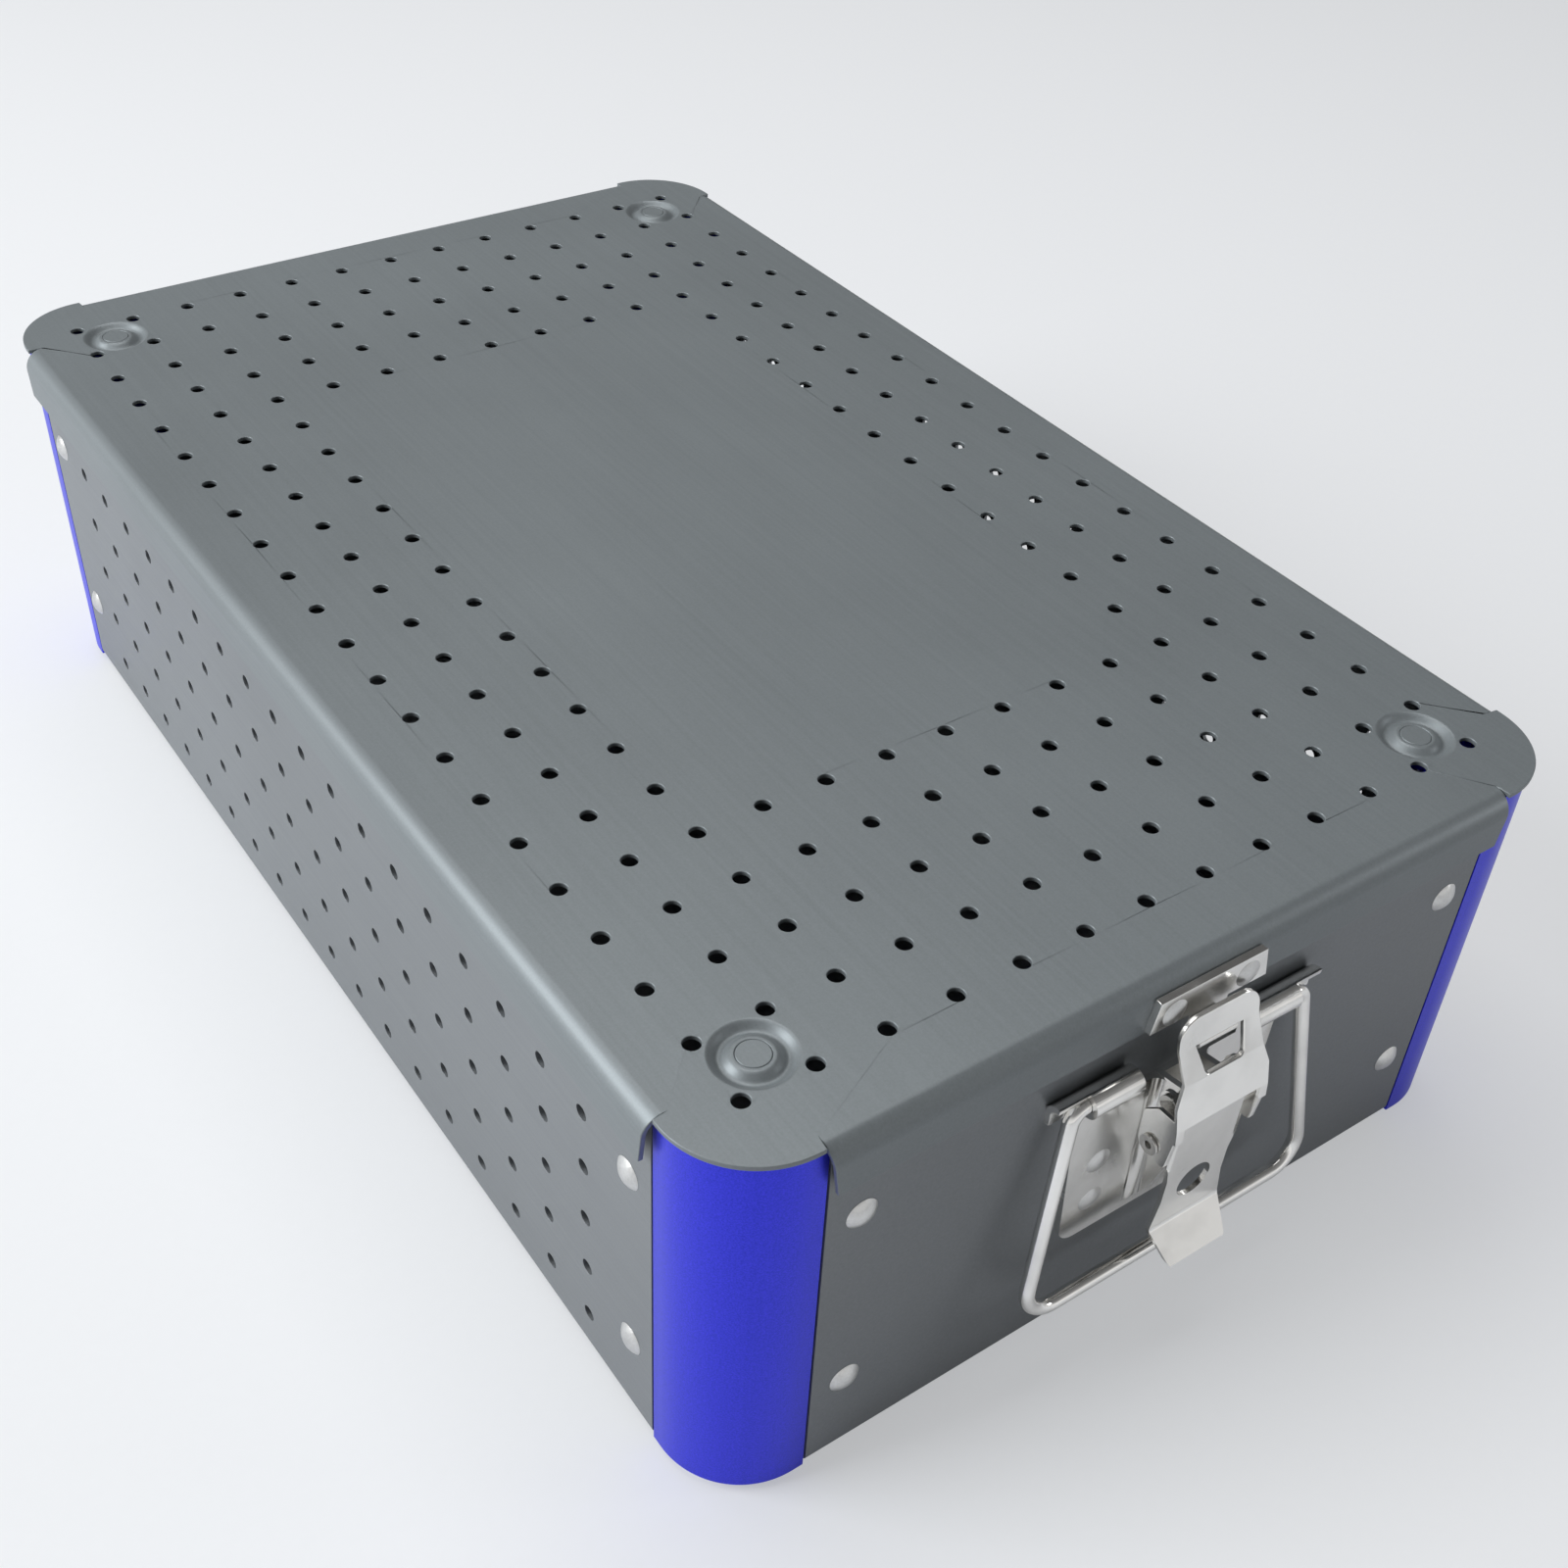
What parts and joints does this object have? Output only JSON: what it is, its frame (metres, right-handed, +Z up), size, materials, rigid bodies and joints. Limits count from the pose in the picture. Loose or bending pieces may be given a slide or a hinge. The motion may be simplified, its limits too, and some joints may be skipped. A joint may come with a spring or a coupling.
{
  "type": "sterilization container",
  "caption": "Rigid sheet-metal sterilization container with a lift-off lid, a latch and a swing-down carrying bail at each end, and perforated long walls.",
  "frame": {"origin": "centre of the standing face, at the underside of the four stacking feet", "axes": "+X across the case, +Y along its length away from the end whose latch faces the viewer, +Z up out of the lid"},
  "size_m": [0.1978, 0.3526, 0.091],
  "materials": {
    "pan_sheet": "grey matt anodised sheet",
    "lid_sheet": "grey matt anodised sheet",
    "corner_profile": "violet-blue satin anodised extrusion",
    "feet": "grey matt anodised",
    "rivets": "bright domed heads",
    "latch_steel": "polished stainless sheet",
    "pivot_pins": "polished stainless pins with drilled ends",
    "bail_wire": "polished stainless wire"
  },
  "bodies": {
    "case": {"base_pan": "pan_sheet", "corner_profile_front_left": "corner_profile", "corner_profile_front_right": "corner_profile", "corner_profile_back_left": "corner_profile", "corner_profile_back_right": "corner_profile", "wall_rivets": "rivets", "stacking_feet": "feet", "foot_rivets": "rivets", "bracket_rivets": "rivets", "front_bracket": "latch_steel", "back_bracket": "latch_steel", "front_lever_pin": "pivot_pins", "back_lever_pin": "pivot_pins"},
    "lid": {"lid_panel": "lid_sheet", "lid_boss_rivets": "rivets", "front_keeper": "latch_steel", "back_keeper": "latch_steel", "keeper_rivets": "rivets"},
    "front_lever": {"front_lever": "latch_steel", "front_loop_pins": "pivot_pins"},
    "front_loop": {"front_loop": "latch_steel"},
    "front_bail": {"front_bail": "bail_wire"},
    "back_lever": {"back_lever": "latch_steel", "back_loop_pins": "pivot_pins"},
    "back_loop": {"back_loop": "latch_steel"},
    "back_bail": {"back_bail": "bail_wire"}
  },
  "joints": [
    {"name": "front_lever_hinge", "type": "hinge", "parent": "case", "child": "front_lever", "pos_m": [0, -0.1684, 0.0638], "axis": [-1, 0, 0], "range_deg": [0, 70]},
    {"name": "front_loop_hinge", "type": "hinge", "parent": "front_lever", "child": "front_loop", "pos_m": [0, -0.1683, 0.0552], "axis": [1, 0, 0], "range_deg": [0, 118.1]},
    {"name": "back_lever_hinge", "type": "hinge", "parent": "case", "child": "back_lever", "pos_m": [0, 0.1684, 0.0638], "axis": [1, 0, 0], "range_deg": [0, 70]},
    {"name": "back_loop_hinge", "type": "hinge", "parent": "back_lever", "child": "back_loop", "pos_m": [0, 0.1683, 0.0552], "axis": [-1, 0, 0], "range_deg": [0, 118.1]},
    {"name": "lid_lift", "type": "slide", "parent": "case", "child": "lid", "axis": [0, 0, 1], "range_m": [0, 0.018]},
    {"name": "front_bail_hinge", "type": "hinge", "parent": "case", "child": "front_bail", "pos_m": [0, -0.1638, 0.0695], "axis": [-1, 0, 0], "range_deg": [0, 84.6]},
    {"name": "back_bail_hinge", "type": "hinge", "parent": "case", "child": "back_bail", "pos_m": [0, 0.1638, 0.0695], "axis": [1, 0, 0], "range_deg": [0, 84.6]}
  ],
  "couplings": [
    {"joint": "front_lever_hinge", "follows": "lid_lift", "rad_per_m": 67.87},
    {"joint": "front_loop_hinge", "follows": "lid_lift", "rad_per_m": 114.4},
    {"joint": "back_lever_hinge", "follows": "lid_lift", "rad_per_m": 67.87},
    {"joint": "back_loop_hinge", "follows": "lid_lift", "rad_per_m": 114.4}
  ]
}
